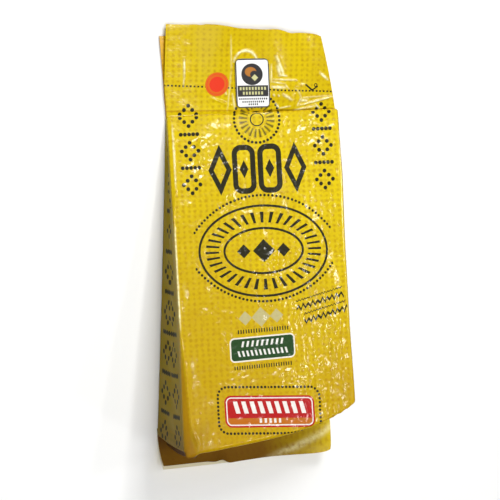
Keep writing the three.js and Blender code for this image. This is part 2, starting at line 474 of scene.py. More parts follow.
front_count = len(front_across)
side_count = len(side_up)
ring_x = np.concatenate([front_across, np.full(side_count - 2, BAG_WIDTH),
                         back_across[::-1], np.zeros(side_count - 2)])
ring_z = np.concatenate([np.full(front_count, END_HEIGHT), side_up[-2:0:-1],
                         np.zeros(len(back_across)), side_up[1:-1]])
ring_block = np.stack(np.broadcast_arrays(ring_x, towards_tip[:, None], ring_z), axis=-1)
body_skin = Skin()
ring = body_skin.add_points(wedge_points(ring_block))
ring = np.concatenate([ring, ring[:, :1]], axis=1)
print("body:", len(towards_tip), "rings of", len(ring_x), "points")

right_corner = front_count - 1
back_right = right_corner + side_count - 1
back_left = back_right + len(back_across) - 1
near_rind = 1 - towards_tip[:, None] / WHEEL_RADIUS
BACK_MIDDLE = 400.0
for first, last, middle in ((0, right_corner, 0.0), (back_right, back_left, BACK_MIDDLE)):
    patch_x = ring_x[first:last + 1] - HALF_WIDTH
    patch_places = flat_places(middle + patch_x, near_rind * rind_reach(patch_x))
    body_skin.add_patch(ring[:, first:last + 1], patch_places)
crease = side_count // 2
for first, sign in ((right_corner, 1), (back_left, -1)):
    numbers = ring[:, first:first + side_count]
    if sign < 0:
        numbers = numbers[:, ::-1]
    down = near_rind * rind_reach(sign * HALF_WIDTH)
    thickness = down * WEDGE_ANGLE + TIP_THICKNESS
    below_front = (1 - side_up[::-1] / END_HEIGHT) * thickness
    from_back = END_HEIGHT - side_up[::-1] / END_HEIGHT * thickness
    for columns, beyond in ((slice(0, crease + 1), below_front), (slice(crease, None), from_back)):
        body_skin.add_patch(numbers[:, columns], flat_places(sign * (HALF_WIDTH + beyond[:, columns]), down))

# %% The two ends of the body
def close_end(row, y):
    """Closes the body at one end with a grid that shares the ring's points."""
    up_inside = side_up[-2:0:-1]
    inside = np.stack(np.broadcast_arrays(front_across[None, 1:-1], y, up_inside[:, None]), axis=-1)
    middle = body_skin.add_points(wedge_points(inside))
    left = ring[row, back_left + 1:back_left + side_count - 1][::-1]
    right = ring[row, right_corner + 1:back_right]
    levels = np.concatenate([left[:, None], middle, right[:, None]], axis=1)
    levels = np.concatenate([ring[row, None, :front_count], levels])
    front_x = front_across - HALF_WIDTH
    beyond = near_rind[row] * (rind_reach(front_x) + END_HEIGHT - side_up[::-1][:-1, None])
    body_skin.add_patch(levels, flat_places(front_x, beyond))
    back_edge = ring[row, back_right:back_left + 1][::-1]
    body_skin.add_strip(levels[-1], back_edge, (BACK_MIDDLE, WHEEL_RADIUS))


close_end(0, 0.0)
close_end(-1, WHEEL_RADIUS)

# %% [markdown]
# ## Masks on the body
# Some things change from place to place and follow no formula of the print: where the film is slack
# enough to pucker, where long wrinkles run, and where a pinched strip is deeper ochre. Shade and
# highlights are painted into the colour the same way: shade past the rind, in the pockets and at the
# lower right, and highlights along creases and rims. Such a mask could be a painted picture. Here it is
# one number for each point, stored on the mesh, so that it has a name and follows the shape.

# %% Where the film may move
# looser or tighter spots of the front: across, down from the fold, half width, half length, change
SLACK_SPOTS = [
    (-38, 22, 8, 16, 2.0),
    (36, 12, 9, 14, 1.8),
    (0, 10, 26, 10, -0.5),
    (-15, 56, 8, 6, 1.6),
    (8, 96, 8, 8, 1.8),
    (32, 96, 8, 8, 1.2),
    (24, 122, 8, 8, 1.2),
    (30, 176, 18, 12, -0.35),
    (40, 196, 12, 8, 0.8),
]
body_x, body_y, body_z = np.concatenate(body_skin.points).T
body_down = TIP_Y - body_y
front_height = np.maximum(body_down, 0) * math.tan(WEDGE_ANGLE) + TIP_THICKNESS
front_share = smoothstep(body_z / front_height, 0.8, 0.97)
edge_room = smoothstep(HALF_WIDTH - np.abs(body_x), 0.3, 4)
end_room = smoothstep(body_down, 0, 5) * smoothstep(body_y, 1, 9)
front_room = front_share * edge_room * end_room
body_slack = 0.15 + 0.85 * front_room
body_slack *= smoothstep(body_z, 0.1, 2.5)
for spot_x, spot_down, half_width, half_length, change in SLACK_SPOTS:
    body_slack *= 1 + change * bell(body_x, spot_x, half_width) * bell(body_down, spot_down, half_length)
body_slack *= 1 - 0.5 * smoothstep(-body_x, 10, 45) * smoothstep(body_down, 130, 170)
lower_right = smoothstep(body_x, 5, 30) * smoothstep(body_down, 95, 130)
lower_right *= 1 - 0.8 * smoothstep(body_down, 194, 208)
body_streaks = front_room * lower_right
print("slack from", body_slack.min().round(2), "to", body_slack.max().round(2))

# %% Painted shade, the ochre strip and painted highlights
# painted shade: the tucked mask says where the colour is darkened to stand in for shade, past the rim of the
# rind and in the pockets under it
body_height = np.arctan2(body_z, np.maximum(body_down, 1)) / WEDGE_ANGLE
past_rind = np.hypot(body_down, body_z) - rind_reach(body_x)
at_side = smoothstep(np.abs(body_x), HALF_WIDTH - POCKET_WIDTH, HALF_WIDTH - 7)
rind_shade = 0.35 + 0.65 * np.maximum(smoothstep(body_height, 0.80, 0.95), at_side)
beyond_rim = smoothstep(past_rind, -1.3, 0.2)
in_pocket = at_side * smoothstep(past_pocket_edge(past_rind, body_height), 1, 3)
tucked_shade = np.maximum(beyond_rim * rind_shade, in_pocket) * (1 - smoothstep(body_height, 0.97, 0.995))
dull_rim = beyond_rim * (0.3 + 0.7 * smoothstep(body_height, 0.5, 0.9))
strip_width = np.interp(body_down, STRIP_PLACES, STRIP_WIDTHS)
from_left = body_x + HALF_WIDTH
# the pinched strip near the foot is deeper ochre; the lower right of the front gets painted shade, darker
# ochre where the film turns away from the light
strip_and_shade = front_share * smoothstep(body_down, 120, 170)
strip_and_shade *= 1 - smoothstep(from_left, strip_width - 1, strip_width + 0.3)
strip_and_shade += 0.45 * front_share * (smoothstep(body_x, 26, 54) * smoothstep(body_down, 120, 180))
# painted highlight: a pale line along the rim of the pinched strip
rim_runs = smoothstep(body_down, 3, 12) * (1 - smoothstep(body_down, 38, 50))
rim_runs += smoothstep(body_down, 66, 80) * (1 - smoothstep(body_down, 124, 138))
painted_highlights = 0.75 * rim_runs * bell(from_left, strip_width + 0.7, 0.45) * front_share
film_body = body_skin.to_piece("film_body", [
    ("slack", body_slack), ("streaks", body_streaks), ("tucked_shade", tucked_shade), ("dull_rim", dull_rim),
    ("strip_and_shade", strip_and_shade), ("painted_highlights", painted_highlights)])

# %% [markdown]
# ## The empty top of the bag
# Above the thin end the bag is empty, so its two sides lie nearly on each other and fold back as a
# flap. The front leaf stands up in a pillow beside the label, and creases run out from the label's
# corners, where the film was held while the label was pressed on. A cloth simulation would crease it
# too, but wherever it liked. Here each leaf is a thin sheet whose height is a sum: a slow rise, a
# ripple, the pillow, and a list of creases that stay where they are put.

# %% Height and free edge of the front leaf
LEAF_THICKNESS = 0.45
LEAF_ROOT = 5.0


def leaf_height(x, rise):
    """Middle surface of the front leaf; rise goes from 0 at the fold to 1 at the free edge."""
    ripple = (np.sin(x / 12.5 + 1.9) + 0.5 * np.sin(x / 6.1 - 0.6)) * (1 - 0.8 * smoothstep(-x, 36, 56))
    pillow = 3.4 * bell(x, 22, 17) * np.sin(np.pi * rise ** 0.6)
    low_left = 3 * smoothstep(-x, 22, 58)
    return 2.5 + (4.1 - low_left) * rise ** 1.4 + rise * ripple + pillow


def fold_line(x):
    """How far the fold lies beyond the thin end; it droops at the left."""
    return TIP_SKEW * x / HALF_WIDTH - FOLD_DROOP * (1 - x / HALF_WIDTH)


def leaf_edge(x):
    """Length of the front leaf with the small waves of its cut edge."""
    waves = 1.4 * bell(x, -61, 12) - 0.5 * bell(x, -37.4, 2.2) - 0.6 * bell(x, -13, 7)
    return flap_edge(x) + waves + 1.3 * bell(x, 12.5, 7.5) - 0.7 * bell(x, 22.5, 4)


# %% Creases of the front leaf
# start and end across and up from the fold, width, height, and how strong a painted highlight lies on it
CREASES = [
    ((-17.9, 50.0), (-16.2, 26.0), 0.5, 0.4, 0.35),
    ((-16.2, 28.0), (-17.6, -1.0), 0.5, 0.4, 0.35),
    ((-47.5, 35.0), (-47.0, 21.0), 0.7, 0.7, 1.0),
    ((-47.1, 24.0), (-47.4, 15.0), 0.5, 0.4, 0.6),
    ((-14.8, 12.0), (-12.4, 1.0), 0.7, 0.4, 0.6),
    ((-19.6, 12.5), (-18.4, 10.5), 0.6, 0.3, 0.7),
    ((9.9, 31.0), (10.3, 18.0), 0.6, 0.6, 0.7),
    ((12.4, 37.0), (18.8, 22.4), 1.1, 0.9, 1.0),
    ((13.9, 31.0), (16.2, 22.0), 1.1, 0.6, 0.9),
    ((14.8, 23.8), (21.4, 22.8), 0.7, 0.4, 0.8),
    ((9.8, 20.8), (28.5, 20.2), 0.6, 0.5, 0.6),
    ((9.8, 19.4), (20.5, 17.7), 0.5, 0.5, 0.6),
    ((19.0, 18.2), (22.6, 14.2), 0.5, 0.4, 0.6),
    ((9.8, 15.9), (21.0, 15.5), 0.9, 0.4, 0.9),
    ((17.8, 11.6), (26.0, 6.8), 0.9, 0.6, 0.9),
    ((12.0, 11.2), (13.6, 9.6), 0.5, 0.3, 0.8),
    ((15.2, 11.0), (16.4, 9.4), 0.5, 0.3, 0.7),
    ((13.6, 6.0), (17.2, 1.2), 0.5, 0.5, 0.7),
    ((16.2, 1.6), (25.0, 3.2), 0.5, 0.5, 0.8),
    ((31.6, 9.0), (29.0, 2.6), 0.5, 0.6, 0.8),
    ((30.4, 7.0), (37.0, 6.2), 0.9, 0.5, 0.9),
    ((30.0, 8.2), (54.0, 9.6), 0.5, 0.5, 0.5),
    ((29.0, 3.0), (58.0, 9.8), 0.6, 0.9, 0.8),
    ((27.0, 0.2), (44.0, 3.4), 0.7, 0.5, 0.7),
    ((41.4, 4.6), (45.8, 0.4), 0.5, 0.4, 0.6),
    ((43.8, 25.0), (50.2, 19.6), 0.8, 0.5, 0.9),
    ((-30.0, 9.0), (-13.5, 3.0), 0.9, 0.35, 0.0),
]
# middle, radius, first and last angle, width, height, and how strong a painted highlight lies on it
ARCHES = [
    ((-7.2, 31.6), 7.6, -10, 190, 0.7, 0.5, 0.9),
    ((22.5, 6.5), 9.2, -20, 70, 0.6, 0.5, 0.35),
]
print("creases in the front leaf:", len(CREASES) + len(ARCHES))


def flap_creases(x, up):
    """Height of the front leaf's creases, and how strong the painted highlight on them is, up mm above the
    fold.
    """
    height = -1.0 * bell(up - fold_line(x), -0.3, 0.9)
    white = 0 * height
    for start, end, width, rise, paleness in CREASES:
        share = ridge(x, up, start, end, width, 1)
        height += rise * share
        white = np.maximum(white, paleness * share ** 1.6)
    for middle, radius, first, last, width, rise, paleness in ARCHES:
        share = arched_ridge(x, up, middle, radius, first, last, width, 1)
        height += rise * share
        white = np.maximum(white, paleness * share)
    return height, white


# %% Front leaf of the top flap
leaf_across = np.linspace(0, 1, 250)
leaf_up = np.linspace(0, 1, 126)[:, None]
leaf_left = -HALF_WIDTH - 2.1 * smoothstep(leaf_up, 0, 0.45)
leaf_right = HALF_WIDTH - 1 - 13.5 * leaf_up ** 1.2
leaf_x = mix(leaf_left, leaf_right, leaf_across)
leaf_rise_mm = mix(-LEAF_ROOT, leaf_edge(leaf_x) - 2.4 * leaf_across ** 24, leaf_up)
leaf_rise = np.clip(leaf_rise_mm / FLAP_LENGTH, 0, 1)
leaf_room = smoothstep(leaf_up, 0.03, 0.07) * (1 - smoothstep(leaf_up, 0.97, 1))
leaf_room = leaf_room * smoothstep(np.minimum(leaf_across, 1 - leaf_across), 0, 0.02)
crease_height, crease_highlights = flap_creases(leaf_x, leaf_rise_mm)
leaf_z = leaf_height(leaf_x, leaf_rise) + leaf_room * crease_height
leaf_z -= 1.6 * (1 - smoothstep(leaf_rise_mm - fold_line(leaf_x), -1.8, -0.3))
leaf_middle = np.stack([leaf_x, TIP_Y + leaf_rise_mm, leaf_z], axis=-1)
leaf_offset = np.array([0, 0, LEAF_THICKNESS / 2])
leaf_skin = sheet_skin(leaf_middle + leaf_offset, leaf_middle - leaf_offset,
                       flat_places(leaf_x, -leaf_rise_mm))
beside_label = 2.2 * bell(leaf_x, 23, 13) * bell(leaf_rise_mm, 14, 12)
leaf_slack = np.tile((leaf_room * (1 + beside_label)).ravel(), 2)
front_leaf = leaf_skin.to_piece("top_flap_front", [("slack", 0.8 * leaf_slack),
                                                   ("streaks", np.zeros_like(leaf_slack)),
                                                   ("painted_highlights", np.tile(crease_highlights.ravel(), 2))])

# %% Back leaf of the top flap
back_share = np.linspace(0, 1, 60)
back_up = np.linspace(0, 1, 40)[:, None]
ear = np.clip((back_up - 0.35) / 0.65, 0, 1)
back_left_x = mix(-HALF_WIDTH - 1.6 * smoothstep(back_up, 0, 0.35), back_leaf_left(1.0), ear)
back_x = mix(back_left_x, HALF_WIDTH - 4 - 13 * back_up, back_share)
back_rise = mix(-LEAF_ROOT, FLAP_LENGTH - 6.2 - 1.5 * back_share, back_up)
back_z = TABLE_GAP + 0.25 + 0.3 * smoothstep(back_up, 0.3, 1) * (1 + np.sin(back_x / 7))
back_z += 0.5 * smoothstep(back_up, 0.2, 1) * smoothstep(-back_x, 20, 62)
back_middle = np.stack([back_x, TIP_Y + back_rise, back_z], axis=-1)
back_offset = np.array([0, 0, 0.2])
back_skin = sheet_skin(back_middle + back_offset, back_middle - back_offset,
                       flat_places(BACK_MIDDLE + back_x, -back_rise))
back_leaf = back_skin.to_piece("top_flap_back")

# %% [markdown]
# ## The sealed foot of the bag
# Under the rind the bag is shut by a heat seal. The seal stays square to the bag, so it sticks out
# further on the right, where the wheel's shoulder is round, and it curls up. At the left its two
# layers part, and the pale inner face of the back layer shows as a thin line. Two loose sheets would
# have to be kept from passing through each other. Here one formula bends both layers, so that they
# stay side by side, and the front one is cut shorter and lifted a little where they part.

# %% Seal flap
# where its free edge lies at the left and the right, how far its root goes in under the rind, and how
# high it curls; then its place on the flat film, and where its shade ends there
SEAL_LEFT = -20.5
SEAL_RIGHT = -15.8
SEAL_TUCK = 12.0
SEAL_LIFT = 11.6
SEAL_FLAT = WHEEL_RADIUS + 60
SEAL_FLAT_LENGTH = 20
SEAL_SHADE = 68.0


def seal_middle(across, outward, shorter, lift):
    """Middle surface of one layer of the seal, from its root under the rind to its free edge."""
    right = HALF_WIDTH + 1.15 * smoothstep(outward, 0.1, 0.35)
    x = mix(1.4 * outward - HALF_WIDTH - 1.4, right, across) - 1.6 * across ** 24 * outward ** 12
    root = TIP_Y - rind_reach(np.clip(x, -HALF_WIDTH, HALF_WIDTH)) + SEAL_TUCK
    free = mix(SEAL_LEFT, SEAL_RIGHT, across) + 1.8 * across ** 30 + 1.3 * bell(across, 0.64, 0.2)
    y = mix(root, free + shorter, outward)
    curl = TABLE_GAP + SEAL_LIFT * outward ** 2.2
    return np.stack([x, y, curl + lift], axis=-1)


seal_across = np.linspace(0, 1, 180)
seal_out = np.linspace(0, 1, 50)[:, None]
seal_x = mix(-HALF_WIDTH, HALF_WIDTH, seal_across)
parted = 1 - smoothstep(seal_x, -30, -12) + 0.9 * bell(seal_x, -19, 3.5)
wave = 2.0 * seal_out ** 4 * bell(seal_x, -19, 7)
seal_ripple = 0.12 * np.sin(seal_x / 3.1 + 4 * seal_out) * np.sin(np.pi * seal_out)
roll_place = 0.70 + 0.8 * (1 - seal_across)
gloss_roll = 0.8 * bell(seal_out, roll_place, 0.09) * smoothstep(seal_x, 5, 40)
# painted highlight along the roll of the seal
roll_highlight = 0.34 * bell(seal_out, roll_place, 0.05) * smoothstep(seal_x, 0, 35)
seal_offset = np.array([0, 0, 0.18])
# name, lift, how much shorter it is cut, wave of its free edge, and its middle on the flat film
SEAL_LAYERS = [
    ("foot_seal_back", 0.2, 0.0, 0.0, BACK_MIDDLE),
    ("foot_seal_front", 0.95, 2.5 * parted * seal_out ** 2, wave, 0.0),
]
seal_pieces = []
for name, base, shorter, edge_wave, flat_middle in SEAL_LAYERS:
    lift = base + seal_ripple + gloss_roll * 0.6 + edge_wave
    middle = seal_middle(seal_across, seal_out, shorter, lift)
    seal_flat = flat_places(flat_middle + seal_x, SEAL_FLAT + SEAL_FLAT_LENGTH * seal_out)
    seal_skin = sheet_skin(middle + seal_offset, middle - seal_offset, seal_flat)
    seal_pieces.append(seal_skin.to_piece(name, [("painted_highlights", np.tile(roll_highlight.ravel(), 2))]))
seal_back, seal_front = seal_pieces
seal_inner_faces = (len(seal_across) - 1) * (len(seal_out) - 1)

# %% [markdown]
# ## The paper label
# The label is stiff paper that takes the bend of the leaf under it. It leans a little, because the
# leaf is pulled askew. A plane with a Shrinkwrap modifier would follow the leaf too, with all its
# creases. Here the label's points take only the leaf's smooth height, as stiff paper does.

# %% Label
LABEL_WIDTH = 22.2
LABEL_HEIGHT = 31.8
LABEL_MIDDLE = (-2.0, 18.3)
LABEL_LEAN = 0.093
LABEL_CLIMB = 0.017
LABEL_ABOVE_LEAF = 0.95
LABEL_THICKNESS = 0.4
CORNER_CUT = 1.6
label_across = np.linspace(-0.5, 0.5, 74)
label_along = np.linspace(-0.5, 0.5, 102)[:, None]
label_flat_x, label_flat_y = np.broadcast_arrays(label_across * LABEL_WIDTH, label_along * LABEL_HEIGHT)
corner_pull = np.abs(2 * label_across) ** 10 * np.abs(2 * label_along) ** 10 * CORNER_CUT
label_reach = np.hypot(label_flat_x, label_flat_y)
label_scale = (label_reach - corner_pull) / np.maximum(label_reach, 1e-6)
label_in_x = label_flat_x * label_scale
label_in_y = label_flat_y * label_scale
label_x = LABEL_MIDDLE[0] + label_in_x - LABEL_LEAN * label_in_y
label_rise = LABEL_MIDDLE[1] + label_in_y + LABEL_CLIMB * label_in_x
label_z = leaf_height(label_x, np.clip(label_rise / FLAP_LENGTH, 0, 1)) + LABEL_ABOVE_LEAF
label_top = np.stack([label_x, TIP_Y + label_rise, label_z + LABEL_THICKNESS], axis=-1)
label_skin = sheet_skin(label_top, label_top - np.array([0, 0, LABEL_THICKNESS]),
                        flat_places(label_in_x, label_in_y))
paper_label = label_skin.to_piece("paper_label")

# %% [markdown]
# ## Puckers by Geometry Nodes
# Between the crumbs the drawn-down film puckers, everywhere a little differently. A sculptor would
# work over the whole front by hand; a small node tree that pushes each point along its normal by
# noise does the same with a few named sizes. It reads two masks that are stored on the points: slack,
# where the film may move, and streaks, where long wrinkles run along the bag.

# %% The pucker tree
def build_pucker_tree():
    """Pushes each point along its normal by noise, as far as the masks on the point allow."""
    tree = bpy.data.node_groups.new("film puckers", "GeometryNodeTree")
    tree.is_modifier = True
    interface = tree.interface
    interface.new_socket("Geometry", in_out="INPUT", socket_type="NodeSocketGeometry")
    for name in ("Pucker height", "Pucker size", "Crumb height", "Crumb size",
                 "Streak height", "Streak width", "Seed"):
        interface.new_socket(name, in_out="INPUT", socket_type="NodeSocketFloat")
    interface.new_socket("Film", in_out="INPUT", socket_type="NodeSocketMaterial")
    interface.new_socket("Geometry", in_out="OUTPUT", socket_type="NodeSocketGeometry")
    nodes = tree.nodes
    links = tree.links
    group_in = nodes.new("NodeGroupInput")
    group_out = nodes.new("NodeGroupOutput")
    position = nodes.new("GeometryNodeInputPosition")
    normal = nodes.new("GeometryNodeInputNormal")

    def calculate(operation, first, second):
        node = nodes.new("ShaderNodeMath")
        node.operation = operation
        for socket, value in zip(node.inputs, (first, second)):
            if isinstance(value, (int, float)):
                socket.default_value = value
            else:
                links.new(value, socket)
        return node.outputs[0]

    def bumps(size_name, height_name, stretch, detail):
        """Noise of a given size in metres, centred on zero and times its height."""
        squeeze = nodes.new("ShaderNodeVectorMath")
        squeeze.operation = "MULTIPLY"
        squeeze.inputs[1].default_value = stretch
        links.new(position.outputs[0], squeeze.inputs[0])
        noise = nodes.new("ShaderNodeTexNoise")
        noise.noise_dimensions = "4D"
        noise.inputs["Detail"].default_value = detail
        links.new(squeeze.outputs[0], noise.inputs["Vector"])
        links.new(calculate("DIVIDE", 1.0, group_in.outputs[size_name]), noise.inputs["Scale"])
        links.new(group_in.outputs["Seed"], noise.inputs["W"])
        centred = calculate("SUBTRACT", noise.outputs[0], 0.5)
        return calculate("MULTIPLY", centred, group_in.outputs[height_name])

    def mask(name):
        node = nodes.new("GeometryNodeInputNamedAttribute")
        node.data_type = "FLOAT"
        node.inputs["Name"].default_value = name
        return node.outputs["Attribute"]

    puckers = bumps("Pucker size", "Pucker height", (1, 1, 1), 1.0)
    crumbs = bumps("Crumb size", "Crumb height", (1, 1, 1), 1.0)
    streaks = bumps("Streak width", "Streak height", (1, 0.22, 1), 1.0)
    push = calculate("MULTIPLY", calculate("ADD", puckers, crumbs), mask("slack"))
    push = calculate("ADD", push, calculate("MULTIPLY", streaks, mask("streaks")))
    offset = nodes.new("ShaderNodeVectorMath")
    offset.operation = "SCALE"
    links.new(normal.outputs[0], offset.inputs[0])
    links.new(push, offset.inputs["Scale"])
    move = nodes.new("GeometryNodeSetPosition")
    links.new(group_in.outputs["Geometry"], move.inputs["Geometry"])
    links.new(offset.outputs[0], move.inputs["Offset"])
    realize = nodes.new("GeometryNodeRealizeInstances")
    links.new(move.outputs[0], realize.inputs[0])
    paint = nodes.new("GeometryNodeSetMaterial")
    links.new(realize.outputs[0], paint.inputs["Geometry"])
    links.new(group_in.outputs["Film"], paint.inputs["Material"])
    links.new(paint.outputs[0], group_out.inputs[0])
    print("pucker tree:", len(nodes), "nodes")
    return tree


def pucker(piece, tree, film, **sizes):
    """Runs the tree on a piece with named sizes, and keeps the result as a plain mesh."""
    modifier = piece.modifiers.new("puckers", "NODES")
    modifier.node_group = tree
    sockets = {item.name: item.identifier for item in tree.interface.items_tree
               if item.item_type == "SOCKET" and item.in_out == "INPUT"}
    for name, value in sizes.items():
        modifier[sockets[name.replace("_", " ").capitalize()]] = float(value)
    modifier[sockets["Film"]] = film
    evaluated = piece.evaluated_get(bpy.context.evaluated_depsgraph_get())
    result = bpy.data.meshes.new_from_object(evaluated)
    piece.modifiers.remove(modifier)
    piece.data = result
    print(piece.name, "puckered:", len(result.vertices), "points")


# %% [markdown]
# ## Ink as distances
# The print is drawn by the material itself: each shape is a formula that gives the distance from its
# edge in millimetres on the flat film, below zero inside. The union of two shapes is the smaller
# distance, and colour is laid where the distance falls below zero, so the ink stays sharp however
# close one looks. A small class lets such formulas be written as sums in plain Python.

# %% Calculating with node sockets
class Field:
    """One number that varies over the film: an output socket that can be calculated with."""

    def __init__(self, tree, socket):
        self.tree = tree
        self.socket = socket

    def then(self, operation, *others):
        node = self.tree.nodes.new("ShaderNodeMath")
        node.operation = operation
        for slot, value in zip(node.inputs, (self, *others)):
            if isinstance(value, Field):
                self.tree.links.new(value.socket, slot)
            else:
                slot.default_value = value
        return Field(self.tree, node.outputs[0])

    def __add__(self, other):
        return self.then("ADD", other)

    def __sub__(self, other):
        return self.then("SUBTRACT", other)

    def __rsub__(self, other):
        return -self + other

    def __mul__(self, other):
        return self.then("MULTIPLY", other)

    def __truediv__(self, other):
        return self.then("DIVIDE", other)

    def __neg__(self):
        return self.then("MULTIPLY", -1.0)

    def __abs__(self):
        return self.then("ABSOLUTE")


# %% Lowest, highest, length and repeats
def lower(first, *others):
    for other in others:
        first = first.then("MINIMUM", other)
    return first


def higher(first, *others):
    for other in others:
        first = first.then("MAXIMUM", other)
    return first


def length(a, b):
    return (a * a + b * b).then("SQRT")


def wrapped(value, pitch):
    """The offset from the nearest multiple of the pitch."""
    return value.then("WRAP", pitch / 2, -pitch / 2)


def whole(value):
    return value.then("FLOOR")


# %% Boxes, ovals, lozenges and strokes
def shape_box(u, v, middle, size, radius=0.0):
    """Distance from a box with rounded corners."""
    a = abs(u - middle[0]) - (size[0] / 2 - radius)
    b = abs(v - middle[1]) - (size[1] / 2 - radius)
    return length(higher(a, 0.0), higher(b, 0.0)) + lower(higher(a, b), 0.0) - radius


def shape_oval(u, v, middle, size):
    """Distance from an oval, good close to its edge."""
    a = (u - middle[0]) / (size[0] / 2)
    b = (v - middle[1]) / (size[1] / 2)
    reach = length(a, b)
    steepness = length(a / (size[0] / 2), b / (size[1] / 2))
    return reach * (reach - 1.0) / higher(steepness, 1e-4)


def shape_lozenge(u, v, middle, size):
    """Distance from a lozenge."""
    slope = 1 / math.hypot(1 / size[0], 1 / size[1])
    return (abs(u - middle[0]) / size[0] + abs(v - middle[1]) / size[1] - 0.5) * slope


def shape_stroke(u, v, start, end, width):
    """Distance from a straight stroke with round ends."""
    run_u = end[0] - start[0]
    run_v = end[1] - start[1]
    beside_u = u - start[0]
    beside_v = v - start[1]
    share = (beside_u * run_u + beside_v * run_v) / (run_u ** 2 + run_v ** 2)
    share = lower(higher(share, 0.0), 1.0)
    return length(beside_u - share * run_u, beside_v - share * run_v) - width / 2


def shape_line(distance, width):
    """Only the edge of a shape, as a line of some width."""
    return abs(distance) - width / 2


# %% Rows of bars and rings of dots
def shape_bars(u, v, middle, count, height, pitch, width, lean=0.0):
    """A row of a few upright or leaning bars."""
    beside = u - middle[0] + (v - middle[1]) * lean
    bar = abs(wrapped(beside + (count + 1) % 2 * pitch / 2, pitch)) - width / 2
    return higher(bar, abs(v - middle[1]) - height / 2, abs(beside) - count * pitch / 2)


def shape_dots_round_box(u, v, middle, size, radius, pitch, dot):
    """Dots along the outline of a box with rounded corners; with a large radius, along a circle."""
    a = abs(u - middle[0])
    b = abs(v - middle[1])
    inner_a = size[0] / 2 - radius
    inner_b = size[1] / 2 - radius
    over_a = higher(a - inner_a, 0.0)
    over_b = higher(b - inner_b, 0.0)
    turn = over_a.then("ARCTAN2", over_b)
    along = lower(a, inner_a) + turn * radius - lower(b, inner_b)
    aside = length(over_a, over_b) - radius
    return length(wrapped(along - pitch / 2, pitch), aside) - dot / 2


def shape_dots_arc(u, v, middle, radius, half_width, upper, pitch, dot):
    """Dots along an arc over or under its middle."""
    side = v - middle[1]
    turn = (u - middle[0]).then("ARCTAN2", -side if upper else side)
    aside = length(u - middle[0], side) - radius
    dots = length(wrapped(turn * radius, pitch), aside) - dot / 2
    return higher(dots, abs(u - middle[0]) - half_width, side if upper else -side)


def shape_dot_motifs(u, v, middle, top, bottom, pitch, dot):
    """A column of dots, five wide: rings of dots and full rows in turn."""
    column = (u - middle) / pitch + 0.5
    row = (v - top) / pitch
    sideways = abs(whole(column))
    in_motif = whole(row) - whole(row / 8.0) * 8.0
    ring_miss = abs(sideways + abs(in_motif - 2.0) - 2.0)
    bar_miss = abs(in_motif - 6.0)
    miss = lower(ring_miss, bar_miss) + higher(sideways - 2.0, 0.0)
    across = (column - whole(column) - 0.5) * pitch
    along = (row - whole(row) - 0.5) * pitch
    dots = length(across, along) - dot / 2
    return higher(dots + miss.then("GREATER_THAN", 0.5) * 10.0, top - v, v - bottom)


# %% [markdown]
# ## The print
# Plain ornaments stand where a bag carries its words: rows of bars, lozenges, rings of dots, a
# medallion, a green and a red field. They are laid out in millimetres across and down from the fold.

# %% Columns of dots
# middle, top, bottom, pitch and dot of each column: down both edges of the front, and down the sides
MOTIF_COLUMNS = [
    (-43.9, -5.4, 52.4, 2.75, 2.6),
    (46.2, -5.4, 52.4, 2.75, 2.6),
    (-73.0, 14.0, 213.0, 3.3, 3.35),
    (73.0, 14.0, 213.0, 3.3, 3.35),
    (-101.8, 14.0, 213.0, 3.3, 3.35),
    (101.8, 14.0, 213.0, 3.3, 3.35),
]


def print_columns(u, v):
    """The columns of dots, and dashes where the sides are too narrow for them."""
    dashes = higher(abs(abs(u) - 63.2) - 1.4, abs(wrapped(v, 5.5)) - 1.2, abs(v - 36.0) - 24.0)
    return lower(dashes, *[shape_dot_motifs(u, v, *column) for column in MOTIF_COLUMNS])


# %% Rosette and tall frames
ROSETTE = (2.0, 4.6)
TALL_ROW = 36.8


def print_rosette(u, v):
    """A ring of dots round a sun of rays and a small circle."""
    reach = length(u - ROSETTE[0], v - ROSETTE[1])
    turn = (u - ROSETTE[0]).then("ARCTAN2", v - ROSETTE[1])
    ring = shape_dots_round_box(u, v, ROSETTE, (30.4, 30.4), 15.2, 2.65, 1.9)
    rays = shape_bars(turn, reach, (0.0, 9.2), 20, 5.4, math.tau / 20, 0.11)
    return lower(ring, rays, shape_line(reach - 4.2, 0.8))


def print_tall_row(u, v):
    """Two tall frames with a lozenge in each, between two open lozenges."""
    row = []
    for middle in (-24.8, 26.3):
        row.append(shape_line(shape_lozenge(u, v, (middle, TALL_ROW), (16.4, 35.0)) + 2.0, 3.2))
    for middle in (-8.5, 9.0):
        row.append(shape_line(shape_box(u, v, (middle, TALL_ROW), (12.4, 28.4), 4.5), 3.6))
        row.append(shape_lozenge(u, v, (middle, TALL_ROW), (6.0, 12.0)))
    return lower(*row)


# %% Medallion
MEDALLION = (1.6, 89.9)
RAY_CIRCLE = 36.0
RAY_COUNT = 36


def print_medallion(u, v):
    """Two ovals with rays between them, lozenges inside, and arcs of dots above and below."""
    outer = shape_oval(u, v, MEDALLION, (86.0, 58.2))
    inner = shape_oval(u, v, MEDALLION, (53.0, 29.0))
    turn = (u - MEDALLION[0]).then("ARCTAN2", (v - MEDALLION[1]) * 1.6)
    ray = abs(wrapped(turn * RAY_CIRCLE, math.tau * RAY_CIRCLE / RAY_COUNT)) - 1.15
    shapes = [shape_line(outer, 1.5), shape_line(inner, 1.5), higher(ray, outer + 4.0, -(inner - 3.6))]
    for middle, size in ((1.6, 15.0), (-12.0, 9.0), (15.2, 9.0)):
        shapes.append(shape_lozenge(u, v, (middle, MEDALLION[1]), (size, size)))
    for middle, is_upper in ((112.0, True), (64.5, False)):
        shapes.append(shape_dots_arc(u, v, (1.8, middle), 58.0, 46.5, is_upper, 2.65, 1.75))
    return lower(*shapes)


# %% Small rows and zigzag lines
GREEN_TILT = 0.04
RED_TILT = 0.05
